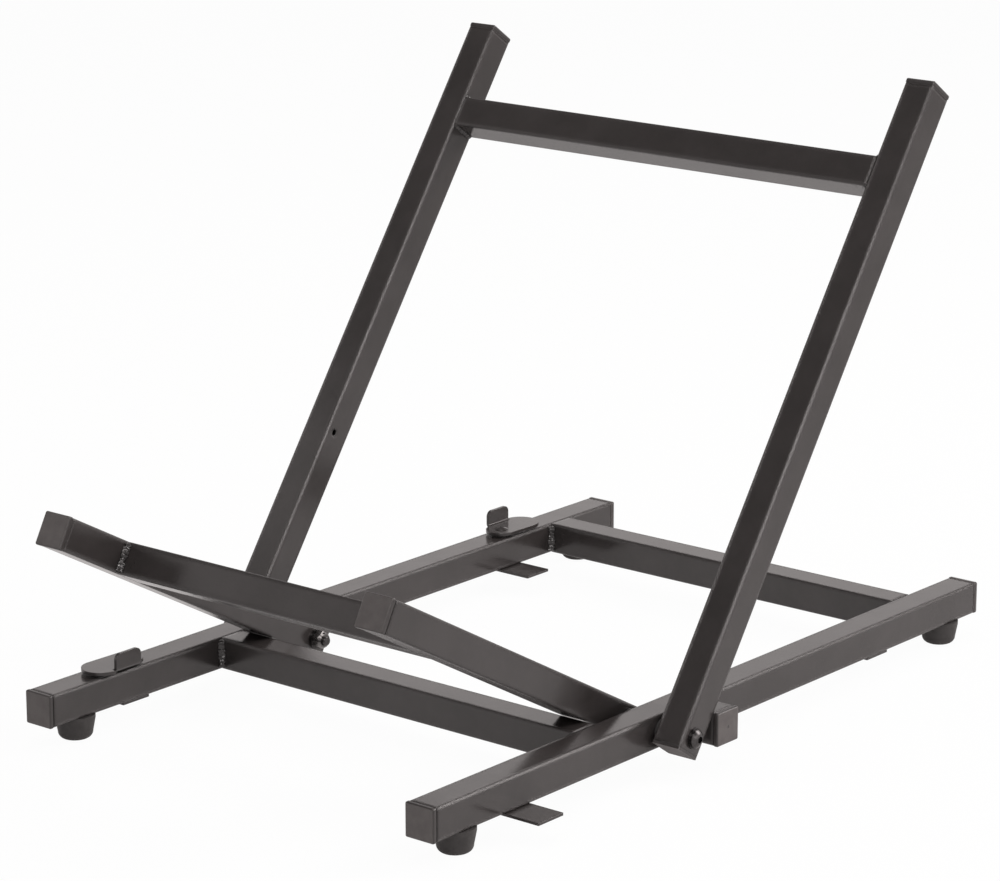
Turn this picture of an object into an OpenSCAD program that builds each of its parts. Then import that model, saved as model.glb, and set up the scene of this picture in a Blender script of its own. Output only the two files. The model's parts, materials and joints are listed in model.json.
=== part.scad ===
// Folding floor stand that tilts a small amplifier back.
// Two side rails stand on rubber feet. Outside them two uprights and a crossbar make the
// backrest, which leans on a stop block at each side. Inside them two arms and a crossbar
// make the seat, which rests on the front crossbar. Both turn on the same pair of bolts:
// the backrest folds forwards and the seat folds back, until everything lies level with
// the rails. Catch plates under the rails carry the folded tubes, and two swivel latches
// on the left rail hold them from above.
// X runs across the stand, Y to its rear and Z up. The origin is on the floor, under the
// middle of the stand's overall box.

/* [Tube] */
// Width of the square steel tube, with its paint
tube = 25.6; // [20:0.1:30]
// Wall thickness of the tube
tube_wall = 1.5; // [1:0.1:2]
// Outer radius of the tube's long edges
tube_round = 1.5; // [1.5:0.1:4]

/* [Base] */
// Distance between the centre lines of the side rails
rail_spacing = 378; // [320:1:440]
// Reach of each rail ahead of the pivot, with its cap
rail_ahead = 261.5; // [250:0.5:330]
// Reach of each rail behind the middle of the rear crossbar, with its cap
rail_tail = 76; // [62:1:120]
// Space between the folded seat and the rear crossbar
rear_bar_space = 29; // [10:1:60]
// Distance that each stop block stands out past its upright, with its cap
block_overhang = 4; // [4:0.5:14]

/* [Feet] */
// Height of the rubber feet
foot_height = 19; // [15:0.5:30]
// Diameter of a foot where it meets the rail
foot_top_d = 31; // [27:0.5:36]
// Diameter of a foot near the floor
foot_base_d = 27; // [26:0.5:30]
// Height of the straight shoulder at a foot's top
foot_shoulder = 3; // [2:0.5:6]
// Radius of the edge that meets the floor
foot_round = 5.5; // [1:0.5:6]
// Distance from the rail's front end to the middle of the front foot
front_foot_inset = 38.5; // [24:0.5:60]
// Distance from the rail's rear end to the middle of the rear foot
rear_foot_inset = 36.5; // [24:0.5:50]

/* [Backrest] */
// Angle by which the backrest leans back from upright
backrest_lean = 34.9; // [28:0.1:40]
// Length of each upright above the pivot, with its cap
upright_reach = 538.5; // [480:0.5:620]
// Distance from the uprights' upper ends to the middle of the backrest crossbar
backrest_bar_inset = 80; // [70:1:140]
// Space between each upright and its rail
upright_gap = 3.3; // [3.3:0.1:6]
// Distance from the pivot to the hang hole in each upright
hang_hole_at = 167.5; // [100:0.5:300]
// Offset of the hang hole towards the upright's front face
hang_hole_shift = 4.6; // [0:0.1:6]
// Diameter of the hang hole
hang_hole_d = 5; // [3:0.1:7]

/* [Seat] */
// Angle at which the seat rises towards the front
seat_slope = 28.8; // [26:0.1:34]
// Length of each seat arm ahead of the pivot, with its cap
arm_reach = 309; // [270:0.5:340]
// Distance from the arms' front ends to the middle of the seat crossbar
seat_bar_inset = 80.5; // [44:0.5:150]
// Space between each rail and its seat arm
arm_gap = 6.4; // [4:0.1:9]

/* [End caps] */
// Thickness of a cap's head
cap_head = 4.5; // [3:0.1:6]
// Distance that a cap's head stands proud of the tube's sides
cap_proud = 0.3; // [0.1:0.1:1]
// Radius of a cap's front edges
cap_round = 1.4; // [0.6:0.1:1.4]
// Width of the groove between a cap's head and its tube
cap_groove = 1.3; // [0.4:0.1:1.6]
// Depth of that groove below the sides of the head
cap_groove_depth = 1; // [0.4:0.1:1.3]
// Length of the stem inside the tube
cap_stem = 12; // [8:0.5:16]
// Wall of the hollow stem
cap_wall = 1.8; // [1.2:0.1:2.5]
// Length of tube and plug below the pivot
heel = 13.2; // [12:0.1:16]
// Thickness of the thin plug that closes the heel
plug_head = 2; // [1.5:0.1:2.5]
// Length of the thin plug's stem, which ends short of the bolt
plug_stem = 5; // [3:0.5:6]

/* [Pivot hardware] */
// Diameter of the pivot bolts
bolt_d = 8; // [6:0.5:10]
// Diameter of the bolt's button head
bolt_head_d = 14; // [12:0.5:18]
// Height of the button head
bolt_head_h = 4.4; // [3.5:0.1:6]
// Width of the hexagon socket across its flats
socket_across = 5; // [4:0.5:6]
// Depth of the hexagon socket
socket_depth = 2.6; // [2:0.1:3]
// Length of bolt that shows past its nut
bolt_tail = 2.5; // [1:0.5:6]
// Chamfer at the bolt's end
bolt_chamfer = 0.8; // [0.4:0.1:1.2]
// Width of the lock nut across its flats
nut_across = 13; // [12.5:0.5:17]
// Height of the nut's hexagon
nut_hex_h = 6; // [5:0.1:8]
// Height of the nut's locking collar
nut_collar_h = 2; // [1:0.1:3]
// Diameter of the steel washers
washer_d = 16; // [15:0.5:20]
// Thickness of the steel washers
washer_t = 1.6; // [1:0.1:2]
// Diameter of the spacers between the tubes
spacer_d = 20; // [16:0.5:24]

/* [Catches and latches] */
// Thickness of the catch plates
catch_t = 2; // [1.5:0.1:4]
// Width of a catch plate along the rail
catch_w = 28; // [20:1:40]
// Reach of the front catch plates past the middle of the folded uprights
front_catch_past = 14; // [8:0.5:20]
// Reach of the rear catch plates past the middle of the folded seat arms
rear_catch_past = 10.5; // [8:0.5:20]
// Distance from a catch plate's hidden end in to its rail's far side
catch_set_back = 1; // [0:0.5:4]
// Radius of a catch plate's corners
catch_round = 0.5; // [0.5:0.5:5]
// Distance from the pivot forward to the middle of the front catch plates
front_catch_at = 169; // [110:0.5:185]
// Distance from the folded seat's end to the middle of the rear catch plates
rear_catch_inset = 25.5; // [20:0.5:60]
// Distance from the middle of a catch plate back to its latch's rivet
latch_offset = 2; // [0:0.5:8]
// Thickness of the latch plates
latch_t = 2.5; // [2:0.1:3]
// Width of a latch plate
latch_w = 31; // [30:0.5:34]
// Reach of a closed latch past the folded upright
latch_past = 2.2; // [0:0.1:6]
// Radius of a latch plate's end round its rivet
latch_heel_r = 13; // [10:0.5:13]
// Distance from the rivet to a latch plate's straight edge
latch_edge = 14; // [13:0.5:15]
// Distance along the plate from the rivet to the thumb tab's near end
tab_start = 1; // [0:0.5:4]
// Relief slit between the thumb tab and the plate's rounded tip
tab_relief = 1; // [0.5:0.1:2]
// Height of the thumb tab above the latch plate
tab_height = 12.5; // [9:0.5:20]
// Radius of the tab's upper corners
tab_round = 5; // [2:0.5:6]
// Inner radius of the tab's bend
bend_r = 1.5; // [1:0.1:2]
// Diameter of the latch rivets' shanks
rivet_d = 4.8; // [4:0.1:6.4]
// Diameter of the rivets' heads
rivet_head_d = 12; // [9:0.5:14]
// Height of the rivets' heads
rivet_head_h = 1.8; // [1.5:0.1:3]
// Diameter of the washer under each latch
latch_washer_d = 16; // [14:0.5:22]
// Thickness of the washer under each latch
latch_washer_t = 2; // [1.5:0.1:3]

/* [Foot hardware] */
// Diameter of the foot screws
screw_d = 4.8; // [4:0.1:6]
// Diameter of a foot screw's head
screw_head_d = 9.5; // [8:0.5:11]
// Height of a foot screw's head
screw_head_h = 3; // [2:0.1:3.5]
// Width of the slots of a foot screw's cross recess
screw_slot = 1.1; // [0.8:0.1:1.6]
// Length of screw that shows inside the rail
screw_tail = 6; // [3:0.5:10]
// Diameter of the steel washer in each foot
foot_washer_d = 12; // [11:0.5:14]
// Thickness of the steel washer in each foot
foot_washer_t = 1.2; // [1:0.1:1.6]
// Height of the rubber between the rail and the steel washer
foot_core = 9; // [6:0.5:10]

/* [Welds and clearances] */
// Leg length of the weld beads
weld = 3; // [1.5:0.1:3.2]
// Depth of the filled seams below the flush faces of the tubes
seam_depth = 0.3; // [0.2:0.1:0.8]
// Length of the two beads that hold each catch plate
catch_weld = 16; // [8:1:20]
// Clearance round a shaft that turns, or that a turning part turns on
turn_play = 0.08; // [0.05:0.01:0.1]
// Clearance between flat faces that slide past each other
side_play = 0.2; // [0.1:0.05:0.3]
// Clearance between a part and the stop that it rests on
stop_play = 0.25; // [0.15:0.05:0.4]
// Clearance between a cap's stem and the inside of its tube
stem_play = 0.1; // [0.05:0.05:0.3]

/* [Hidden] */
$fn = 32;

steel_color = [0.27, 0.26, 0.255];
plastic_color = [0.16, 0.16, 0.16];
rubber_color = [0.09, 0.09, 0.09];
hardware_color = [0.3, 0.3, 0.31];

half_tube = tube / 2;
bore_w = tube - 2 * tube_wall;
bore_round = max(tube_round - tube_wall, 0.4);
flat_w = tube - 2 * tube_round;
edge_center = half_tube - tube_round;

// Weld metal reaches this far into the groove beside a tube's rounded edge.
weld_root = 0.7 * tube_round;

pivot_z = foot_height + half_tube;
rail_x = rail_spacing / 2;
rail_side = rail_x + half_tube;
rail_inside = rail_x - half_tube;
upright_x = rail_side + upright_gap + half_tube;
arm_x = rail_inside - arm_gap - half_tube;
upright_face = upright_x + half_tube;
arm_face = arm_x - half_tube;
block_end = upright_face + block_overhang;

// A rounded tube edge touches a leaning flat face when its centre lies this far from the
// leaning tube's centre line.
rest_distance = half_tube + tube_round + stop_play;
block_y = (rest_distance + edge_center * sin(backrest_lean)) / cos(backrest_lean) + edge_center;
front_bar_y = -(rest_distance + edge_center * cos(seat_slope)) / sin(seat_slope) - edge_center;
rear_bar_y = arm_reach + rear_bar_space + half_tube;
rail_behind = rear_bar_y + rail_tail;
front_foot_y = front_foot_inset - rail_ahead;
rear_foot_y = rail_behind - rear_foot_inset;
front_catch_y = -front_catch_at;
rear_catch_y = arm_reach - rear_catch_inset;
front_catch_reach = upright_gap + half_tube + front_catch_past;
rear_catch_reach = arm_gap + half_tube + rear_catch_past;
latch_reach = half_tube + upright_gap + tube + latch_past;

// The seat's front corner is the foremost point, and the rails' rear ends are the last.
seat_front = (arm_reach - cap_round) * cos(seat_slope)
    + (half_tube + cap_proud - cap_round) * sin(seat_slope)
    + cap_round;
origin_shift = (seat_front - rail_behind) / 2;

bolt_hole_d = bolt_d + 2 * turn_play;
head_seat = upright_face + side_play + washer_t;
nut_seat = arm_face - side_play - washer_t;
bolt_end = nut_seat - nut_hex_h - nut_collar_h - bolt_tail;

rail_top = foot_height + tube;
latch_z = rail_top + latch_washer_t + side_play;
rivet_seat = latch_z + latch_t + side_play;
tip_r = latch_w / 2;
tip_y = latch_reach - tip_r;
rivet_hole_d = rivet_d + 2 * turn_play;
screw_hole_d = screw_d + 2 * turn_play;
foot_well_d = foot_washer_d + 1;

// ---- shared shapes ----

module rounded_square(size, radius) {
    square([size, size - 2 * radius], center = true);
    square([size - 2 * radius, size], center = true);
    for (x = [-1, 1], y = [-1, 1]) {
        translate([x, y] * (size / 2 - radius)) circle(radius);
    }
}

// Square tube along Z.
module tube_length(from, to) {
    translate([0, 0, from])
        linear_extrude(to - from)
            difference() {
                rounded_square(tube, tube_round);
                rounded_square(bore_w, bore_round);
            }
}

// Cross-section of a cap's head on its narrower neck, with rounded upper corners.
module head_section(width, height) {
    neck = width / 2 - cap_groove_depth;
    translate([-neck, 0]) square([2 * neck, cap_groove]);
    translate([-width / 2, cap_groove]) square([width, height - cap_round - cap_groove]);
    translate([cap_round - width / 2, cap_groove]) square([width - 2 * cap_round, height - cap_groove]);
    for (x = [-1, 1]) {
        translate([x * (width / 2 - cap_round), height - cap_round]) circle(cap_round);
    }
}

// Square head above the XY plane with rounded corners and rounded upper edges.
module soft_head(height) {
    width = tube + 2 * cap_proud;
    corner = width / 2 - tube_round;
    for (turn = [0, 90]) {
        rotate([90, 0, turn])
            linear_extrude(2 * corner, center = true)
                head_section(width, height);
    }
    for (x = [-1, 1], y = [-1, 1]) {
        translate([x * corner, y * corner, 0])
            rotate_extrude()
                intersection() {
                    head_section(2 * tube_round, height);
                    square([tube_round, height]);
                }
    }
}

// Hollow square stem that fills the tube's bore, hanging down from the XY plane.
module stem(length) {
    width = bore_w - 2 * stem_play;
    translate([0, 0, -length])
        linear_extrude(length)
            difference() {
                rounded_square(width, bore_round);
                square(width - 2 * cap_wall, center = true);
            }
}

// Moulded end cap whose head sits on a tube end at z = 0.
module end_cap() {
    color(plastic_color) {
        soft_head(cap_head);
        stem(cap_stem);
    }
}

// Thin plug, flush with the tube's sides.
module end_plug() {
    color(plastic_color) {
        linear_extrude(plug_head) rounded_square(tube, tube_round);
        stem(plug_stem);
    }
}

// Hole across a tube, along X, for the pivot bolt.
module bolt_hole() {
    rotate([0, 90, 0]) cylinder(d = bolt_hole_d, h = tube + 2, center = true);
}

module ring(outer_d, inner_d, height) {
    linear_extrude(height)
        difference() {
            circle(d = outer_d);
            circle(d = inner_d);
        }
}

// Quarter-round weld bead along Z, in the corner between the +X and +Y sides.
module bead(length, leg) {
    linear_extrude(length, center = true)
        intersection() {
            circle(leg);
            square(leg);
        }
}

// Filled seam along Z. It lies where a tube's rounded edge, towards +X, runs beside the
// flush end of another tube.
module seam() {
    linear_extrude(flat_w, center = true)
        difference() {
            translate([0, -weld_root]) square([weld_root, weld_root - seam_depth]);
            translate([tube_round, -tube_round]) circle(tube_round);
        }
}

// Welds round the end of a tube along X. The tube that it is welded to lies towards +X or
// -X. Beads run up the two side faces, and seams cross the flush top and bottom.
module end_welds(toward) {
    for (side = [-1, 1]) {
        translate([0, side * half_tube, 0])
            rotate([0, 0, toward < 0 ? 45 * side - 45 : 135 - 45 * side])
                bead(flat_w, weld);
        translate([0, 0, side * half_tube])
            rotate([90 * side, 0, toward < 0 ? 180 : 0])
                seam();
    }
}

module crossbar_welds(span) {
    for (side = [-1, 1]) {
        translate([side * span / 2, 0, 0]) end_welds(side);
    }
}

// ---- places ----

// Moves the children from the pivot's own frame to the stand's frame.
module at_pivot() {
    translate([0, origin_shift, pivot_z]) children();
}

// Turns Z to run to the rear, for the rails.
module along_rail(side) {
    at_pivot() translate([side * rail_x, 0, 0]) rotate([-90, 0, 0]) children();
}

// Turns Z to run up the backrest.
module along_backrest() {
    at_pivot() rotate([-backrest_lean, 0, 0]) children();
}

// Turns Z to run forwards along the seat.
module along_seat() {
    at_pivot() rotate([90 - seat_slope, 0, 0]) children();
}

// Turns Z to point out of the stand at the given side.
module outwards(side) {
    at_pivot() rotate([0, side * 90, 0]) children();
}

// ---- base ----

module rail(side) {
    color(steel_color)
        difference() {
            along_rail(side)
                difference() {
                    tube_length(cap_head - rail_ahead, rail_behind - cap_head);
                    bolt_hole();
                }
            for (y = [front_foot_y, rear_foot_y]) {
                translate([side * rail_x, y + origin_shift, foot_height - 1])
                    cylinder(d = screw_hole_d, h = tube_wall + 2);
            }
            if (side < 0) {
                for (y = [front_catch_y, rear_catch_y]) {
                    translate([-rail_x, y + latch_offset + origin_shift, rail_top - tube_wall - 1])
                        cylinder(d = rivet_hole_d, h = tube_wall + 2);
                }
            }
        }
}

module rail_front_cap(side) {
    along_rail(side)
        translate([0, 0, cap_head - rail_ahead])
            rotate([180, 0, 0])
                end_cap();
}

module rail_rear_cap(side) {
    along_rail(side) translate([0, 0, rail_behind - cap_head]) end_cap();
}

module crossbar(length) {
    color(steel_color) rotate([0, 90, 0]) tube_length(-length / 2, length / 2);
}

module base_crossbar(y) {
    at_pivot() translate([0, y, 0]) crossbar(rail_spacing - tube);
}

module stop_block(side) {
    color(steel_color)
        outwards(side)
            translate([0, block_y, 0])
                tube_length(rail_side, block_end - cap_head);
}

module block_cap(side) {
    outwards(side) translate([0, block_y, block_end - cap_head]) end_cap();
}

// Tapered foot with its top at height 0, a bore for the screw and a well for its head.
module foot_body() {
    round_x = foot_base_d / 2 - foot_round;
    round_z = foot_round - foot_height;
    difference() {
        union() {
            rotate_extrude()
                polygon([
                    [0, 0],
                    [foot_top_d / 2, 0],
                    [foot_top_d / 2, -foot_shoulder],
                    [foot_base_d / 2, round_z],
                    [round_x, round_z],
                    [round_x, -foot_height],
                    [0, -foot_height],
                ]);
            rotate_extrude() translate([round_x, round_z]) circle(foot_round);
        }
        translate([0, 0, -foot_height - 1]) cylinder(d = screw_hole_d, h = foot_height + 2);
        translate([0, 0, -foot_height - 1]) cylinder(d = foot_well_d, h = foot_height + 1 - foot_core);
    }
}

module at_foot(side, y) {
    translate([side * rail_x, y + origin_shift, foot_height]) children();
}

module at_all_feet() {
    for (side = [-1, 1], y = [front_foot_y, rear_foot_y]) {
        at_foot(side, y) children();
    }
}

module foot(side, y) {
    color(rubber_color) at_foot(side, y) foot_body();
}

module foot_washers() {
    color(hardware_color)
        at_all_feet()
            translate([0, 0, -foot_core - foot_washer_t])
                ring(foot_washer_d, screw_hole_d, foot_washer_t);
}

// Pan-head screw that points up into the rail.
module foot_screws() {
    color(hardware_color)
        at_all_feet()
            translate([0, 0, -foot_core - foot_washer_t])
                difference() {
                    union() {
                        cylinder(d = screw_d, h = foot_core + foot_washer_t + screw_tail);
                        translate([0, 0, -screw_head_h])
                            cylinder(d1 = screw_head_d - screw_slot, d2 = screw_head_d, h = screw_head_h);
                    }
                    for (turn = [0, 90]) {
                        rotate([0, 0, turn])
                            translate([0, 0, -screw_head_h])
                                cube([screw_d, screw_slot, screw_head_h], center = true);
                    }
                }
}

// Plate under a rail, at distance y behind the pivot. It reaches out towards +X where
// reach is positive, and towards -X where it is negative.
module catch_plate(side, y, reach) {
    length = tube + abs(reach) - catch_set_back;
    middle = sign(reach) * (abs(reach) + catch_set_back) / 2;
    color(steel_color)
        translate([side * rail_x + middle, y + origin_shift, foot_height - catch_t])
            linear_extrude(catch_t) {
                square([length, catch_w - 2 * catch_round], center = true);
                square([length - 2 * catch_round, catch_w], center = true);
                for (px = [-1, 1], py = [-1, 1]) {
                    translate([px * (length / 2 - catch_round), py * (catch_w / 2 - catch_round)])
                        circle(catch_round);
                }
            }
}

module rail_welds() {
    color(steel_color)
        for (y = [front_bar_y, rear_bar_y]) {
            at_pivot() translate([0, y, 0]) crossbar_welds(rail_spacing - tube);
        }
}

module block_welds() {
    color(steel_color)
        at_pivot()
            for (side = [-1, 1]) {
                translate([side * rail_side, block_y, 0]) end_welds(-side);
            }
}

// Beads under the rails, along the front and rear edges of the catch plates.
module catch_welds() {
    leg = min(weld, catch_t);
    color(steel_color)
        for (side = [-1, 1], y = [front_catch_y, rear_catch_y], end = [-1, 1]) {
            translate([side * rail_x, y + end * catch_w / 2 + origin_shift, foot_height])
                rotate([0, 90, 90 - 90 * end])
                    bead(catch_weld, leg);
        }
}

// ---- pivot hardware, pointing outwards along Z ----

module dome(width, height) {
    ball_r = (width * width / 4 + height * height) / (2 * height);
    rotate_extrude()
        intersection() {
            translate([0, height - ball_r]) circle(ball_r, $fn = 96);
            square([width / 2, height]);
        }
}

module pivot_bolt(side) {
    color(hardware_color)
        outwards(side) {
            translate([0, 0, bolt_end + bolt_chamfer])
                cylinder(d = bolt_d, h = head_seat - bolt_end - bolt_chamfer);
            translate([0, 0, bolt_end])
                cylinder(d1 = bolt_d - 2 * bolt_chamfer, d2 = bolt_d, h = bolt_chamfer);
            translate([0, 0, head_seat])
                difference() {
                    intersection() {
                        dome(bolt_head_d + washer_t, bolt_head_h);
                        cylinder(d = bolt_head_d, h = bolt_head_h);
                    }
                    translate([0, 0, bolt_head_h - socket_depth])
                        cylinder(d = socket_across / cos(30), h = socket_depth + 1, $fn = 6);
                }
        }
}

// Lock nut with its collar towards the middle of the stand.
module pivot_nut(side) {
    corner_d = nut_across / cos(30);
    cone_d = nut_across + 2 * nut_hex_h / tan(30);
    color(hardware_color)
        outwards(side)
            translate([0, 0, nut_seat - nut_hex_h - nut_collar_h])
                difference() {
                    union() {
                        cylinder(d1 = nut_across - nut_collar_h, d2 = nut_across, h = nut_collar_h);
                        translate([0, 0, nut_collar_h])
                            intersection() {
                                cylinder(d = corner_d, h = nut_hex_h, $fn = 6);
                                cylinder(d1 = nut_across, d2 = cone_d, h = nut_hex_h);
                            }
                    }
                    translate([0, 0, -1]) cylinder(d = bolt_hole_d, h = nut_hex_h + nut_collar_h + 2);
                }
}

module pivot_washers() {
    color(hardware_color)
        for (side = [-1, 1], z = [head_seat - washer_t, nut_seat]) {
            outwards(side) translate([0, 0, z]) ring(washer_d, bolt_hole_d, washer_t);
        }
}

module outer_spacers() {
    color(plastic_color)
        for (side = [-1, 1]) {
            outwards(side)
                translate([0, 0, rail_side])
                    ring(spacer_d, bolt_hole_d, upright_gap - side_play);
        }
}

module inner_spacers() {
    color(plastic_color)
        for (side = [-1, 1]) {
            outwards(side)
                translate([0, 0, rail_inside - arm_gap + side_play])
                    ring(spacer_d, bolt_hole_d, arm_gap - side_play);
        }
}

// ---- latches ----

// Outline of a latch plate that reaches along +Y, with its rivet at the origin and the
// line of its bend at the -X side.
module latch_outline() {
    tip_x = latch_edge - tip_r;
    bend_x = latch_edge - latch_w + bend_r + latch_t;
    circle(latch_heel_r);
    translate([tip_x, tip_y])
        intersection() {
            circle(tip_r);
            translate([-tip_r, 0]) square([latch_w, tip_r]);
        }
    polygon([
        [latch_heel_r, 0],
        [latch_edge, tip_y],
        [bend_x, tip_y],
        [bend_x, tab_start],
        [-latch_heel_r, 0],
    ]);
}

// Side view of the plate's edge, bend and tab, across X and up Z.
module tab_section() {
    outer_r = bend_r + latch_t;
    left = latch_edge - latch_w;
    translate([left + outer_r, outer_r])
        difference() {
            circle(outer_r);
            circle(bend_r);
            translate([0, -outer_r - 1]) square(2 * outer_r + 2);
            translate([-outer_r - 1, 0]) square(2 * outer_r + 2);
        }
    translate([left, outer_r]) square([latch_t, latch_t + tab_height - outer_r]);
}

module latch() {
    top = latch_t + tab_height;
    tab_length = tip_y - tab_relief - tab_start;
    color(steel_color)
        difference() {
            union() {
                linear_extrude(latch_t) latch_outline();
                intersection() {
                    translate([0, tab_start + tab_length, 0])
                        rotate([90, 0, 0])
                            linear_extrude(tab_length)
                                tab_section();
                    rotate([90, 0, -90])
                        linear_extrude(latch_w)
                            translate([-tab_start - tab_length, 0]) {
                                square([tab_length, top - tab_round]);
                                translate([tab_round, 0]) square([tab_length - 2 * tab_round, top]);
                                for (x = [tab_round, tab_length - tab_round]) {
                                    translate([x, top - tab_round]) circle(tab_round);
                                }
                            }
                }
            }
            translate([0, 0, -1]) cylinder(d = rivet_hole_d, h = latch_t + 2);
        }
}

module at_front_latch() {
    translate([-rail_x, origin_shift + front_catch_y + latch_offset, 0]) rotate([0, 0, 180]) children();
}

module at_rear_latch() {
    translate([-rail_x, origin_shift + rear_catch_y + latch_offset, 0]) children();
}

module latch_washer() {
    translate([0, 0, rail_top]) ring(latch_washer_d, rivet_hole_d, latch_washer_t);
}

module latch_washers() {
    color(hardware_color) {
        at_front_latch() latch_washer();
        at_rear_latch() latch_washer();
    }
}

// Blind rivet: domed head above the latch, shank, and a bulb under the rail's top wall.
module latch_rivet() {
    wall_under = rail_top - tube_wall;
    bulb_h = rivet_d / 2;
    difference() {
        union() {
            translate([0, 0, rivet_seat]) dome(rivet_head_d, rivet_head_h);
            translate([0, 0, wall_under]) cylinder(d = rivet_d, h = rivet_seat - wall_under);
            translate([0, 0, wall_under - bulb_h])
                cylinder(d1 = rivet_d, d2 = rivet_d + bulb_h, h = bulb_h);
        }
        translate([0, 0, rivet_seat + rivet_head_h - 1]) cylinder(d = rivet_d / 2, h = 2);
    }
}

module latch_rivets() {
    color(steel_color) {
        at_front_latch() latch_rivet();
        at_rear_latch() latch_rivet();
    }
}

module front_latch() {
    at_front_latch() translate([0, 0, latch_z]) latch();
}

module rear_latch() {
    at_rear_latch() translate([0, 0, latch_z]) latch();
}

// ---- backrest ----

module upright(side) {
    color(steel_color)
        along_backrest()
            translate([side * upright_x, 0, 0])
                difference() {
                    tube_length(plug_head - heel, upright_reach - cap_head);
                    bolt_hole();
                    translate([-side * half_tube, -hang_hole_shift, hang_hole_at])
                        rotate([0, 90, 0])
                            cylinder(d = hang_hole_d, h = 2 * tube_wall + 1, center = true);
                }
}

module upright_cap(side) {
    along_backrest() translate([side * upright_x, 0, upright_reach - cap_head]) end_cap();
}

module upright_plug(side) {
    along_backrest()
        translate([side * upright_x, 0, plug_head - heel])
            rotate([180, 0, 0])
                end_plug();
}

module backrest_crossbar() {
    along_backrest() translate([0, 0, upright_reach - backrest_bar_inset]) crossbar(2 * upright_x - tube);
}

module backrest_welds() {
    color(steel_color)
        along_backrest()
            translate([0, 0, upright_reach - backrest_bar_inset])
                rotate([90, 0, 0])
                    crossbar_welds(2 * upright_x - tube);
}

// ---- seat ----

module seat_arm(side) {
    color(steel_color)
        along_seat()
            translate([side * arm_x, 0, 0])
                difference() {
                    tube_length(plug_head - heel, arm_reach - cap_head);
                    bolt_hole();
                }
}

module arm_cap(side) {
    along_seat() translate([side * arm_x, 0, arm_reach - cap_head]) end_cap();
}

module arm_plug(side) {
    along_seat()
        translate([side * arm_x, 0, plug_head - heel])
            rotate([180, 0, 0])
                end_plug();
}

module seat_crossbar() {
    along_seat() translate([0, 0, arm_reach - seat_bar_inset]) crossbar(2 * arm_x - tube);
}

module seat_welds() {
    color(steel_color)
        along_seat()
            translate([0, 0, arm_reach - seat_bar_inset])
                rotate([90, 0, 0])
                    crossbar_welds(2 * arm_x - tube);
}

// ---- the stand ----

rail(-1);  // left_rail
rail(1);  // right_rail
base_crossbar(front_bar_y);  // front_crossbar
base_crossbar(rear_bar_y);  // rear_crossbar
stop_block(-1);  // left_stop_block
stop_block(1);  // right_stop_block
rail_front_cap(-1);  // left_rail_front_cap
rail_rear_cap(-1);  // left_rail_rear_cap
rail_front_cap(1);  // right_rail_front_cap
rail_rear_cap(1);  // right_rail_rear_cap
block_cap(-1);  // left_block_cap
block_cap(1);  // right_block_cap
foot(-1, front_foot_y);  // left_front_foot
foot(1, front_foot_y);  // right_front_foot
foot(-1, rear_foot_y);  // left_rear_foot
foot(1, rear_foot_y);  // right_rear_foot
foot_washers();
foot_screws();
catch_plate(-1, front_catch_y, -front_catch_reach);  // left_front_catch
catch_plate(1, front_catch_y, front_catch_reach);  // right_front_catch
catch_plate(-1, rear_catch_y, rear_catch_reach);  // left_rear_catch
catch_plate(1, rear_catch_y, -rear_catch_reach);  // right_rear_catch
rail_welds();
block_welds();
catch_welds();
pivot_bolt(-1);  // left_pivot_bolt
pivot_bolt(1);  // right_pivot_bolt
pivot_nut(-1);  // left_pivot_nut
pivot_nut(1);  // right_pivot_nut
pivot_washers();
outer_spacers();
inner_spacers();
latch_washers();
latch_rivets();
front_latch();
rear_latch();
upright(-1);  // left_upright
upright(1);  // right_upright
backrest_crossbar();
upright_cap(-1);  // left_upright_cap
upright_cap(1);  // right_upright_cap
upright_plug(-1);  // left_upright_plug
upright_plug(1);  // right_upright_plug
backrest_welds();
seat_arm(-1);  // left_seat_arm
seat_arm(1);  // right_seat_arm
seat_crossbar();
arm_cap(-1);  // left_arm_cap
arm_cap(1);  // right_arm_cap
arm_plug(-1);  // left_arm_plug
arm_plug(1);  // right_arm_plug
seat_welds();
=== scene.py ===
"""Looks of the folding amp stand: powder-coated steel tube, moulded caps, rubber feet."""

import json
import math
import random

import bmesh
import bpy
from mathutils import Matrix, Vector, noise


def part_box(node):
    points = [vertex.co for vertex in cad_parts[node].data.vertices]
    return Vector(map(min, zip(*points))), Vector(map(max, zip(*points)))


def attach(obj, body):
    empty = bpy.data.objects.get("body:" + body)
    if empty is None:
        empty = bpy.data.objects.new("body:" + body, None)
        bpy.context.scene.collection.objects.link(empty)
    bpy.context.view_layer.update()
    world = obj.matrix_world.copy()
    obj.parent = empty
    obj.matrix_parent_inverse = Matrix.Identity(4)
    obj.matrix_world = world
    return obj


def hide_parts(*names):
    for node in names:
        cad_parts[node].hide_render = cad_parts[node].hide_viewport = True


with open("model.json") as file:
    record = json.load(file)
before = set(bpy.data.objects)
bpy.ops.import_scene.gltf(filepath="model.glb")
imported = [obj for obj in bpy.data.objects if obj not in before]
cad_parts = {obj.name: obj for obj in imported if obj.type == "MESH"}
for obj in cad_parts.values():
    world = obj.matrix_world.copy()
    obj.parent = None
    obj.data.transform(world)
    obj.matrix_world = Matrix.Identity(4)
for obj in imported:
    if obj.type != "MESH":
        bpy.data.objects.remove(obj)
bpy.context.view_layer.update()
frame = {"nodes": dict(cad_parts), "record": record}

MM = 0.001
X_AXIS, Y_AXIS, Z_AXIS = Vector((1, 0, 0)), Vector((0, 1, 0)), Vector((0, 0, 1))


# ---------------------------------------------------------------- places from the frame

def middle(node):
    """The middle of a node's box."""
    low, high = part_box(node)
    return (low + high) / 2


def mount_axis(name):
    """The outward normal of one of the record's flat faces."""
    found = [m for m in frame["record"]["mounts"] if m["name"] == name]
    return Vector(found[0]["axis"]).normalized()


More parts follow.
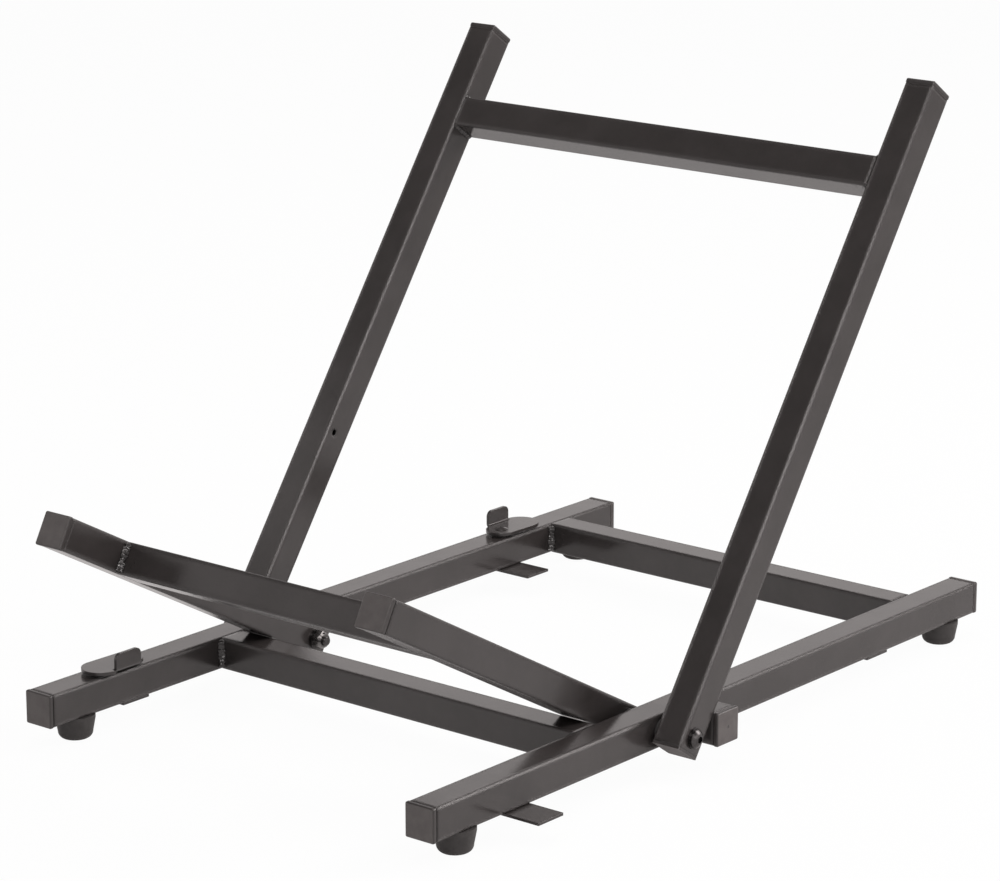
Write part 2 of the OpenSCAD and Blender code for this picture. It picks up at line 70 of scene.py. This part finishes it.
RAIL_LOW, RAIL_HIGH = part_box("right_rail")
TUBE = RAIL_HIGH.x - RAIL_LOW.x
RAIL_X = (RAIL_LOW.x + RAIL_HIGH.x) / 2
BACK_FACE = mount_axis("left_back_face")
SEAT_FACE = mount_axis("left_seat_face")
UP_BACK = BACK_FACE.cross(X_AXIS).normalized()
UP_SEAT = SEAT_FACE.cross(X_AXIS).normalized()


# ---------------------------------------------------------------- material helpers

class Shader:
    """A material's node tree with short calls to add and join nodes."""

    def __init__(self, name):
        self.material = bpy.data.materials.new(name)
        self.material.use_nodes = True
        self.tree = self.material.node_tree
        self.bsdf = self.tree.nodes["Principled BSDF"]
        self.place = self.add("ShaderNodeTexCoord").outputs["Object"]

    def add(self, kind, **settings):
        made = self.tree.nodes.new(kind)
        for key, value in settings.items():
            setattr(made, key, value)
        return made

    def join(self, source, target):
        """Links an output to an input."""
        self.tree.links.new(source, target)

    def noise(self, size, detail=3.0, rough=0.55):
        """Noise with features of about this size, in metres."""
        made = self.add("ShaderNodeTexNoise")
        made.inputs["Scale"].default_value = 1 / size
        made.inputs["Detail"].default_value = detail
        made.inputs["Roughness"].default_value = rough
        self.join(self.place, made.inputs["Vector"])
        return made.outputs["Fac"]

    def spread(self, source, low, high, start=0.3, end=0.7):
        """Maps a noise's start to end onto low to high."""
        made = self.add("ShaderNodeMapRange")
        made.inputs["From Min"].default_value = start
        made.inputs["From Max"].default_value = end
        made.inputs["To Min"].default_value = low
        made.inputs["To Max"].default_value = high
        self.join(source, made.inputs["Value"])
        return made.outputs["Result"]

    def blend(self, source, colors, start=0.35, end=0.65):
        """A colour ramp through evenly spaced colours."""
        made = self.add("ShaderNodeValToRGB")
        ramp = made.color_ramp
        while len(ramp.elements) < len(colors):
            ramp.elements.new(0.5)
        for i, color in enumerate(colors):
            share = i / (len(colors) - 1)
            ramp.elements[i].position = start + (end - start) * share
            ramp.elements[i].color = (*color, 1)
        self.join(source, made.inputs["Fac"])
        return made.outputs["Color"]

    def times(self, one, two):
        """The product of two values."""
        made = self.add("ShaderNodeMath", operation="MULTIPLY")
        self.join(one, made.inputs[0])
        self.join(two, made.inputs[1])
        return made.outputs[0]

    def disc(self, centre, axis, radius):
        """1 within this radius of the line through centre along axis, and 0 beyond."""
        offset = self.add("ShaderNodeVectorMath", operation="SUBTRACT")
        offset.inputs[1].default_value = centre
        self.join(self.place, offset.inputs[0])
        across = self.add("ShaderNodeVectorMath", operation="CROSS_PRODUCT")
        across.inputs[1].default_value = axis
        self.join(offset.outputs["Vector"], across.inputs[0])
        length = self.add("ShaderNodeVectorMath", operation="LENGTH")
        self.join(across.outputs["Vector"], length.inputs[0])
        return self.spread(length.outputs["Value"], 1, 0, 0.8 * radius, radius)

    def rounded(self, radius):
        """The surface's normal with its sharp edges softened over this radius."""
        made = self.add("ShaderNodeBevel", samples=6)
        made.inputs["Radius"].default_value = radius
        return made.outputs["Normal"]

    def bumps(self, *layers, last=None):
        """Stacks bump nodes. Each layer is a height source and its depth in metres."""
        for source, depth in layers:
            made = self.add("ShaderNodeBump")
            made.inputs["Distance"].default_value = depth
            self.join(source, made.inputs["Height"])
            if last is not None:
                self.join(last, made.inputs["Normal"])
            last = made.outputs["Normal"]
        self.join(last, self.bsdf.inputs["Normal"])

    def set(self, **values):
        """Sets numbers on the shader's own sockets, with _ for each space in a name."""
        for key, value in values.items():
            self.bsdf.inputs[key.replace("_", " ")].default_value = value


# ---------------------------------------------------------------- materials

CHARCOAL = [(0.036, 0.0315, 0.0305), (0.041, 0.036, 0.035), (0.046, 0.0405, 0.0395)]
# The welds' coat is the frame's charcoal made darker: painted shade in the joints' corners.
WELD_SHADE = [(0.022, 0.0195, 0.019), (0.030, 0.0265, 0.026)]
# The caps' face tone, then the darker colours for their sides and rounded edges: painted shade,
# lighter on the rail's rear caps.
CAP_FACE = [(0.092, 0.083, 0.081), (0.118, 0.107, 0.104)]
CAP_SIDE_SHADE = [(0.044, 0.039, 0.038), (0.052, 0.047, 0.046)]
REAR_CAP_SIDE_SHADE = [(0.078, 0.070, 0.068), (0.092, 0.083, 0.081)]
RUBBER = [(0.034, 0.031, 0.030), (0.046, 0.042, 0.041)]
NYLON = [(0.04, 0.038, 0.038), (0.05, 0.048, 0.048)]
BLACK_OXIDE = [(0.06, 0.057, 0.057), (0.09, 0.087, 0.087)]
NUT_STEEL = [(0.12, 0.116, 0.115), (0.24, 0.235, 0.232)]

COAT_IOR = 1.55
PLASTIC_IOR = 1.49
TUBE_EDGE = 4.2 * MM
PLATE_EDGE = 0.6 * MM
GATE_RADIUS = 1.3 * MM
GATE_DEPTH = 0.8 * MM


def powder_coat(name, colors, roughness=(0.16, 0.21), peel=0.03 * MM, grain=0.012 * MM, edge=0.0):
    """Satin powder coat: fine orange peel over a slightly mottled charcoal.

    With edge, a radius, it lies thick over the sharp edges and softens them."""
    s = Shader(name)
    clouds = s.noise(45 * MM, detail=4)
    s.join(s.blend(clouds, colors), s.bsdf.inputs["Base Color"])
    s.join(s.spread(s.noise(20 * MM), *roughness), s.bsdf.inputs["Roughness"])
    softened = s.rounded(edge) if edge else None
    s.bumps(
        (s.noise(2.2 * MM, detail=1), peel),
        (s.noise(0.7 * MM, detail=2), grain),
        last=softened,
    )
    s.set(IOR=COAT_IOR)
    return s.material


def moulded_cap(name, axis, gate=None, edge=CAP_SIDE_SHADE):
    """A moulded insert: grained and paler on its face, across the axis, and smooth at its edges.

    With gate, a point, it shows the mould's gate mark on the face there. The sides, the rounded
    edges and the gate mark take the darker edge colour: painted shade."""
    s = Shader(name)
    facing = s.add("ShaderNodeVectorMath", operation="DOT_PRODUCT")
    facing.inputs[1].default_value = axis
    s.join(s.add("ShaderNodeNewGeometry").outputs["Normal"], facing.inputs[0])
    size = s.add("ShaderNodeMath", operation="ABSOLUTE")
    s.join(facing.outputs["Value"], size.inputs[0])
    on_face = s.spread(size.outputs[0], 0, 1, 0.8, 0.98)
    marks = []
    if gate is not None:
        inside = s.disc(gate, axis, GATE_RADIUS)
        marks = [(inside, -GATE_DEPTH)]
        clear = s.add("ShaderNodeMath", operation="SUBTRACT")
        clear.inputs[0].default_value = 1
        s.join(inside, clear.inputs[1])
        on_face = s.times(on_face, clear.outputs[0])
    # pale is the face's tone; dark, from the edge colour, is painted shade on the sides, the
    # rounded edges and the gate mark.
    pale = s.blend(s.noise(10 * MM), CAP_FACE)
    dark = s.blend(s.noise(10 * MM), edge)
    color = s.add("ShaderNodeMix", data_type="RGBA")
    s.join(on_face, color.inputs["Factor"])
    s.join(dark, color.inputs["A"])
    s.join(pale, color.inputs["B"])
    s.join(color.outputs["Result"], s.bsdf.inputs["Base Color"])
    s.join(s.spread(on_face, 0.3, 0.6, 0, 1), s.bsdf.inputs["Roughness"])
    s.bumps(*marks, (s.noise(0.6 * MM, detail=2), 0.03 * MM))
    s.set(IOR=PLASTIC_IOR)
    return s.material


def moulded_plastic(name, colors, roughness=(0.42, 0.52), grain=0.5 * MM, depth=0.02 * MM):
    """Plastic or rubber with a fine moulded grain of this size and depth."""
    s = Shader(name)
    s.join(s.blend(s.noise(10 * MM), colors), s.bsdf.inputs["Base Color"])
    s.join(s.spread(s.noise(6 * MM), *roughness), s.bsdf.inputs["Roughness"])
    s.bumps((s.noise(grain, detail=2), depth))
    s.set(IOR=PLASTIC_IOR)
    return s.material


def black_steel(name, colors, roughness):
    """Black-oxide steel: dark metal with a slightly uneven sheen."""
    s = Shader(name)
    s.join(s.blend(s.noise(3 * MM), colors), s.bsdf.inputs["Base Color"])
    s.join(s.spread(s.noise(1.5 * MM), *roughness), s.bsdf.inputs["Roughness"])
    s.bumps((s.noise(0.4 * MM, detail=2), 0.006 * MM))
    s.set(Metallic=1.0)
    return s.material


FINISHES = {
    "frame_paint": powder_coat("powder_coat", CHARCOAL, edge=TUBE_EDGE),
    "plate_paint": powder_coat("plate_paint", CHARCOAL, edge=PLATE_EDGE),
    "rail_cap": moulded_cap("rail_cap", Y_AXIS),
    # The rail's rear caps: rail_cap with a lighter painted shade on their sides.
    "rear_cap": moulded_cap("rear_cap", Y_AXIS, edge=REAR_CAP_SIDE_SHADE),
    "upright_cap": moulded_cap("upright_cap", UP_BACK),
    "arm_cap": moulded_cap("arm_cap", UP_SEAT),
    "block_cap": moulded_cap("block_cap", X_AXIS, middle("right_block_cap")),
    "foot_rubber": moulded_plastic("foot_rubber", RUBBER, (0.55, 0.7), 0.8 * MM, 0.03 * MM),
    "spacer_plastic": moulded_plastic("spacer_plastic", NYLON),
    "hardware": black_steel("black_steel", BLACK_OXIDE, (0.24, 0.32)),
    "nut_steel": black_steel("nut_steel", NUT_STEEL, (0.2, 0.34)),
    # The welds: the same powder coat, glossier, and darker in colour as painted shade.
    "weld_paint": powder_coat("weld_paint", WELD_SHADE, (0.1, 0.16), 0.15 * MM, 0.01 * MM),
}
FINISH_BY_NAME = {
    "_catch": "plate_paint",
    "_latch": "plate_paint",
    "_rivets": "plate_paint",
    "_nut": "nut_steel",
    "block_cap": "block_cap",
    "rail_front_cap": "rail_cap",
    "rail_rear_cap": "rear_cap",
    "upright_cap": "upright_cap",
    "upright_plug": "upright_cap",
    "arm_cap": "arm_cap",
    "arm_plug": "arm_cap",
}


def dress_cad():
    """Gives every CAD node its finish: by its name's ending, or else by its record's slot."""
    for part in frame["record"]["subparts"]:
        finish = part["material_slot"]
        for ending, name in FINISH_BY_NAME.items():
            if part["node"].endswith(ending):
                finish = name
        mesh = frame["nodes"][part["node"]].data
        mesh.materials.clear()
        mesh.materials.append(FINISHES[finish])


# ---------------------------------------------------------------- mesh helpers

def new_piece(name, mesh_bm, body, slot, replaced=(), finish=None, smooth=True):
    """Makes an object from a bmesh, gives it its finish and lets it ride on a body."""
    bmesh.ops.recalc_face_normals(mesh_bm, faces=mesh_bm.faces)
    mesh = bpy.data.meshes.new(name)
    mesh_bm.to_mesh(mesh)
    mesh_bm.free()
    for polygon in mesh.polygons:
        polygon.use_smooth = smooth
    piece = bpy.data.objects.new(name, mesh)
    bpy.context.scene.collection.objects.link(piece)
    mesh.materials.append(FINISHES[finish or slot])
    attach(piece, body)
    if replaced:
        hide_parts(*replaced)
    return piece


def skin(bm, rings, close=True):
    """Joins rings of points, each a closed outline, and caps both ends."""
    made = [[bm.verts.new(p) for p in ring] for ring in rings]
    count = len(made[0])
    for one, two in zip(made, made[1:]):
        for i in range(count):
            j = (i + 1) % count
            bm.faces.new((one[i], one[j], two[j], two[i]))
    if close:
        bm.faces.new(made[0][::-1])
        bm.faces.new(made[-1])


# ---------------------------------------------------------------- welds

BEAD_LEG = 5.2 * MM
BEAD_LEG_BY_UPRIGHT = 2.4 * MM
BACKREST_BEAD_LEG = 3.4 * MM
BEAD_PITCH = 3.0 * MM
BEAD_STEP = 0.3 * MM
BEAD_ARC = 11
BEAD_SINK = 0.25 * MM
BEAD_TAPER = 1.6 * MM
BEAD_BOW = 2.4 * MM
BEAD_BASE = 0.7
BEAD_RIPPLE = 0.17
BEAD_HOLLOW = 0.24
WANDER, WANDER_SIZE = 0.22, 5 * MM
LUMP, LUMP_SIZE = 0.2, 3.4 * MM
SEAM_DEPTH = 0.45 * MM
SEAM_WIDTH = 0.8 * MM
SEAM_WAVE, SEAM_WAVE_SIZE = 0.15 * MM, 2.5 * MM
SEAM_OVERLAP = 0.2 * MM
SEAM_CROWN = 0.05 * MM
SEAM_ROOT = 0.6 * MM
DROPLETS = 7
DROPLET_REACH = 9 * MM
DROPLET_SIZES = (0.18, 0.42)


def bead(bm, at, leg_a, leg_b, run, length, seed):
    """A rippled fillet along run, in the corner at point at, with the legs leg_a and leg_b.

    Its reach is a share of the legs: it wanders, ripples and lumps, and tapers at both ends."""
    steps = int(length / BEAD_STEP)
    sink = (leg_a.normalized() + leg_b.normalized()) * BEAD_SINK
    rings = []
    for i in range(steps + 1):
        share = i / steps
        s = (share - 0.5) * length
        end = min(share, 1 - share) * length
        taper = min(1.0, math.sqrt(max(end, 0.02 * MM) / BEAD_TAPER))
        wander = WANDER * noise.noise(Vector((s / WANDER_SIZE, seed * 3.1, 0)))
        ring = [at - sink + run * s]
        for k in range(BEAD_ARC):
            turn = math.radians(90) * k / (BEAD_ARC - 1)
            bow = (k / (BEAD_ARC - 1) - 0.5) ** 2 * BEAD_BOW
            wave = abs(math.sin(math.pi * (s + bow) / BEAD_PITCH + seed))
            lump = LUMP * noise.noise(Vector((s / LUMP_SIZE, k / 4, seed * 7.7)))
            reach = taper * min(1.0, BEAD_BASE + BEAD_RIPPLE * wave + wander + lump)
            belly = 1 - BEAD_HOLLOW * math.sin(2 * turn)
            spoke = leg_a * math.cos(turn) + leg_b * math.sin(turn)
            ring.append(at + spoke * reach * belly + run * s)
        rings.append(ring)
    skin(bm, rings)


def seam(bm, at, inward, up, run, length, seed):
    """Weld metal that fills the groove beside a tube's rounded edge, level with the flush faces."""
    steps = int(length / (2 * BEAD_STEP))
    rings = []
    for i in range(steps + 1):
        s = (i / steps - 0.5) * length
        lift = SEAM_WAVE * noise.noise(Vector((s / SEAM_WAVE_SIZE, seed, 0)))
        top = at + up * (lift - SEAM_DEPTH) + run * s
        rings.append([
            top - inward * SEAM_OVERLAP,
            top + inward * (SEAM_WIDTH / 2) + up * SEAM_CROWN,
            top + inward * SEAM_WIDTH,
            top + inward * SEAM_OVERLAP - up * SEAM_ROOT,
        ])
    skin(bm, rings)


def spatter(bm, at, reach, count, seed):
    """Droplets half sunk in a flat face, scattered from the point at along two reach vectors."""
    dice = random.Random(seed)
    for _ in range(count):
        place = Matrix.Translation(at + reach[0] * dice.random() + reach[1] * dice.uniform(-1, 1))
        size = dice.uniform(*DROPLET_SIZES) * MM
        bmesh.ops.create_icosphere(bm, subdivisions=1, radius=size, matrix=place)


def end_welds(bm, at, toward, side_dir, up_dir, seed, leg_along=BEAD_LEG, leg_across=BEAD_LEG):
    """Beads on the two side faces and seams on the two flush faces of a tube's end.

    The tube that carries it lies in direction toward from the point at."""
    half = TUBE / 2
    bead_length, seam_length = TUBE - 1.5 * MM, TUBE - 3 * MM
    for i, sign in enumerate((-1, 1)):
        face, flush = side_dir * sign, up_dir * sign
        corner = at + face * half
        bead(bm, corner, -toward * leg_along, face * leg_across, up_dir, bead_length, seed + i)
        seam(bm, at + flush * half, toward, flush, side_dir, seam_length, seed + 5 + i)
        if leg_along > BEAD_LEG_BY_UPRIGHT:
            reach = (-toward * DROPLET_REACH, up_dir * 0.4 * TUBE)
            spatter(bm, corner - toward * leg_along, reach, DROPLETS, seed + i)


def crossbar_welds(bm, node, side_dir, up_dir, seed, leg=BEAD_LEG):
    """The welds at both ends of a crossbar that runs along X."""
    low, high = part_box(node)
    for sign in (-1, 1):
        at = (low + high) / 2 + X_AXIS * sign * (high.x - low.x) / 2
        end_welds(bm, at, X_AXIS * sign, side_dir, up_dir, seed + 20 * (sign + 1), leg, leg)


def weld_piece(name, bm, body, replaced):
    new_piece(name, bm, body, "frame_paint", [replaced], "weld_paint")


def make_welds():
    """The welds that replace the CAD's plain beads, one piece for each group of joints."""
    bm = bmesh.new()
    crossbar_welds(bm, "front_crossbar", Y_AXIS, Z_AXIS, 1.3)
    crossbar_welds(bm, "rear_crossbar", Y_AXIS, Z_AXIS, 2.7)
    weld_piece("rail_weld_beads", bm, "base", "rail_welds")
    bm = bmesh.new()
    for sign, node in ((-1, "left_stop_block"), (1, "right_stop_block")):
        at = middle(node)
        at.x = sign * (RAIL_X + TUBE / 2)
        end_welds(bm, at, -X_AXIS * sign, Y_AXIS, Z_AXIS, 3.3 + sign, BEAD_LEG_BY_UPRIGHT)
    weld_piece("block_weld_beads", bm, "base", "block_welds")
    bm = bmesh.new()
    crossbar_welds(bm, "backrest_crossbar", UP_BACK, BACK_FACE, 4.1, BACKREST_BEAD_LEG)
    weld_piece("backrest_weld_beads", bm, "backrest", "backrest_welds")
    bm = bmesh.new()
    crossbar_welds(bm, "seat_crossbar", UP_SEAT, SEAT_FACE, 5.9)
    weld_piece("seat_weld_beads", bm, "seat", "seat_welds")


# ---------------------------------------------------------------- cap collars

COLLAR_LENGTH = 1.28 * MM
COLLAR_START = 0.01 * MM
COLLAR_ROUND = 1.5 * MM
ROUND_STEPS = 6


def collar(bm, node, axis, side, up):
    """A rounded square collar that fills the groove between a tube's far end and its cap."""
    centre = middle(node)
    reach = max(vertex.co.dot(axis) for vertex in frame["nodes"][node].data.vertices)
    end = centre + axis * (reach - centre.dot(axis))
    flat = TUBE / 2 - COLLAR_ROUND
    outline = []
    for i in range(4):
        corner = side * flat * (1, -1, -1, 1)[i] + up * flat * (1, 1, -1, -1)[i]
        for k in range(ROUND_STEPS + 1):
            turn = math.radians(90) * (i + k / ROUND_STEPS)
            outline.append(corner + (side * math.cos(turn) + up * math.sin(turn)) * COLLAR_ROUND)
    skin(bm, [[end + point + axis * s for point in outline] for s in (COLLAR_START, COLLAR_LENGTH)])


def collar_piece(name, nodes, axis, up, body, finish):
    bm = bmesh.new()
    for node in nodes:
        collar(bm, node, axis, X_AXIS, up)
    new_piece(name, bm, body, "cap_plastic", finish=finish, smooth=False)


def make_collars():
    """Fills the grooves that the photograph doesn't show: rear rail, upright and left arm caps."""
    rails, uprights = ("left_rail", "right_rail"), ("left_upright", "right_upright")
    collar_piece("rear_cap_collars", rails, Y_AXIS, Z_AXIS, "base", "rear_cap")
    collar_piece("upright_cap_collars", uprights, UP_BACK, BACK_FACE, "backrest", "upright_cap")
    collar_piece("arm_cap_collar", ("left_seat_arm",), -UP_SEAT, SEAT_FACE, "seat", "arm_cap")


# ---------------------------------------------------------------- stage, light and camera

WHITE = (1, 1, 1)
WARM = (1, 0.945, 0.935)
# The world: its light on the object, and its gloss from the white sweep up to the dark ceiling.
AMBIENT = 0.26
CEILING = 0.2
CEILING_FROM, CEILING_FULL = 0.38, 0.54
# The floor: the white share that the camera and the gloss see, and the fall-off of its glow in the
# gloss, a painted pool of light strongest near the object.
FLOOR_SIZE = 14
FLOOR_COLOR = (0.9, 0.9, 0.9)
FLOOR_GLOW = 0.965
FLOOR_GLOW_IN_GLOSS = 0.7
NEAR_GLOW, FAR_GLOW = 0.88, 0.36
NEAR_FLOOR, FAR_FLOOR = 0.45, 1.5


def ray_switch(tree):
    """1 for rays that see the white surroundings: camera, glossy and transmission rays."""
    path = tree.nodes.new("ShaderNodeLightPath")
    last = path.outputs["Is Camera Ray"]
    for name in ("Is Glossy Ray", "Is Transmission Ray"):
        joined = tree.nodes.new("ShaderNodeMath")
        joined.operation = "MAXIMUM"
        tree.links.new(last, joined.inputs[0])
        tree.links.new(path.outputs[name], joined.inputs[1])
        last = joined.outputs[0]
    return last


def background(tree, strength, color=WHITE):
    """A background shader's output."""
    made = tree.nodes.new("ShaderNodeBackground")
    made.inputs["Color"].default_value = (*color, 1)
    made.inputs["Strength"].default_value = strength
    return made.outputs[0]


def mix(tree, share, one, two):
    """Mixes two shaders: one where share is 0, two where it is 1."""
    made = tree.nodes.new("ShaderNodeMixShader")
    tree.links.new(share, made.inputs["Fac"])
    tree.links.new(one, made.inputs[1])
    tree.links.new(two, made.inputs[2])
    return made.outputs[0]


def make_world():
    """Dim light on the object; behind it and in its gloss a white sweep, under a dark ceiling."""
    world = bpy.data.worlds.new("studio")
    bpy.context.scene.world = world
    world.use_nodes = True
    tree = world.node_tree
    tree.nodes.remove(tree.nodes["Background"])
    white = background(tree, 1.0)
    direction = tree.nodes.new("ShaderNodeTexCoord").outputs["Generated"]
    height = tree.nodes.new("ShaderNodeSeparateXYZ")
    tree.links.new(direction, height.inputs[0])
    share = tree.nodes.new("ShaderNodeMapRange")
    share.interpolation_type = "SMOOTHSTEP"
    share.inputs["From Min"].default_value = CEILING_FROM
    share.inputs["From Max"].default_value = CEILING_FULL
    tree.links.new(height.outputs["Z"], share.inputs["Value"])
    sweep, ceiling = background(tree, 1.0, WARM), background(tree, CEILING, WARM)
    in_gloss = mix(tree, share.outputs["Result"], sweep, ceiling)
    path = tree.nodes.new("ShaderNodeLightPath")
    seen = mix(tree, path.outputs["Is Glossy Ray"], white, in_gloss)
    final = mix(tree, ray_switch(tree), background(tree, AMBIENT), seen)
    tree.links.new(final, tree.nodes["World Output"].inputs["Surface"])


def make_floor():
    """A white floor that keeps the object's shadow, and shows white to the camera and the gloss;
    its glow in the gloss is a painted pool of light that fades away from the object.
    """
    bm = bmesh.new()
    bmesh.ops.create_grid(bm, x_segments=1, y_segments=1, size=FLOOR_SIZE)
    mesh = bpy.data.meshes.new("floor")
    bm.to_mesh(mesh)
    bm.free()
    floor = bpy.data.objects.new("floor", mesh)
    bpy.context.scene.collection.objects.link(floor)
    material = bpy.data.materials.new("floor_white")
    material.use_nodes = True
    tree = material.node_tree
    diffuse = tree.nodes["Principled BSDF"]
    diffuse.inputs["Base Color"].default_value = (*FLOOR_COLOR, 1)
    diffuse.inputs["Roughness"].default_value = 1.0
    diffuse.inputs["Specular IOR Level"].default_value = 0.0
    path = tree.nodes.new("ShaderNodeLightPath")
    away = tree.nodes.new("ShaderNodeVectorMath")
    away.operation = "LENGTH"
    tree.links.new(tree.nodes.new("ShaderNodeTexCoord").outputs["Object"], away.inputs[0])
    # Painted pool of light: the glow that reflections see is strongest near the object and fades
    # with distance.
    in_gloss = tree.nodes.new("ShaderNodeMapRange")
    in_gloss.inputs["From Min"].default_value = NEAR_FLOOR
    in_gloss.inputs["From Max"].default_value = FAR_FLOOR
    in_gloss.inputs["To Min"].default_value = NEAR_GLOW
    in_gloss.inputs["To Max"].default_value = FAR_GLOW
    tree.links.new(away.outputs["Value"], in_gloss.inputs["Value"])
    shaded = diffuse.outputs[0]
    layers = (("Is Glossy Ray", WARM, FLOOR_GLOW_IN_GLOSS), ("Is Camera Ray", WHITE, FLOOR_GLOW))
    for ray, color, amount in layers:
        glow = tree.nodes.new("ShaderNodeEmission")
        glow.inputs["Color"].default_value = (*color, 1)
        if color is WARM:
            tree.links.new(in_gloss.outputs["Result"], glow.inputs["Strength"])
        share = tree.nodes.new("ShaderNodeMath")
        share.operation = "MULTIPLY"
        share.inputs[1].default_value = amount
        tree.links.new(path.outputs[ray], share.inputs[0])
        shaded = mix(tree, share.outputs[0], shaded, glow.outputs[0])
    tree.links.new(shaded, tree.nodes["Material Output"].inputs["Surface"])
    mesh.materials.append(material)


# Each soft box: its place, its sides and its watts. All but left_box face LIT_POINT.
LIT_POINT = (0, 0, 0.2)
LEFT_TARGET = (-0.2, -0.1, 0.1)


def softbox(name, place, size, watts, target=LIT_POINT):
    data = bpy.data.lights.new(name, "AREA")
    data.shape = "RECTANGLE"
    data.size, data.size_y = size
    data.energy = watts
    data.color = WARM
    lamp = bpy.data.objects.new(name, data)
    bpy.context.scene.collection.objects.link(lamp)
    lamp.location = place
    lamp.rotation_euler = (Vector(target) - Vector(place)).to_track_quat("-Z", "Y").to_euler()
    return lamp


def make_lights():
    """Soft boxes round the object, and one that shows in its gloss alone, for the welds' glints."""
    softbox("top_box", (-0.2, 0.2, 2.8), (1.6, 1.6), 24)
    softbox("right_box", (2.6, -0.1, 0.95), (1.9, 1.2), 8)
    softbox("back_box", (1.9, 2.1, 1.9), (1.7, 1.7), 70)
    softbox("left_box", (-1.9, -0.9, 1.15), (0.7, 0.7), 1.6, LEFT_TARGET)
    softbox("front_box", (0.6, -1.6, 2.4), (1.2, 1.2), 9)
    glint_box = softbox("glint_box", (1.3, -1.45, 2.0), (1.0, 1.0), 38)
    glint_box.visible_diffuse = False


# The camera as fitted to the photograph: metres, radians and a lens in mm on SENSOR_WIDTH.
CAMERA_PLACE = Vector((1.826652, -2.229366, 0.978020))
CAMERA_PITCH = -0.2624566
CAMERA_YAW = -0.6907650
CAMERA_ROLL = -0.000965
CAMERA_LENS = 138.6253
SENSOR_WIDTH = 36
CLIP_END = 50


def make_camera():
    forward = Vector((
        math.sin(CAMERA_YAW) * math.cos(CAMERA_PITCH),
        math.cos(CAMERA_YAW) * math.cos(CAMERA_PITCH),
        math.sin(CAMERA_PITCH),
    ))
    right = forward.cross(Z_AXIS).normalized()
    up = right.cross(forward)
    c, s = math.cos(CAMERA_ROLL), math.sin(CAMERA_ROLL)
    right, up = right * c + up * s, up * c - right * s
    data = bpy.data.cameras.new("camera")
    data.sensor_width = SENSOR_WIDTH
    data.lens = CAMERA_LENS
    data.clip_end = CLIP_END
    camera = bpy.data.objects.new("camera", data)
    turn = Matrix((right, up, -forward)).transposed().to_4x4()
    camera.matrix_world = Matrix.Translation(CAMERA_PLACE) @ turn
    bpy.context.scene.collection.objects.link(camera)
    bpy.context.scene.camera = camera


dress_cad()
make_welds()
make_collars()
make_world()
make_floor()
make_lights()
make_camera()
bpy.context.scene.view_settings.view_transform = "Standard"
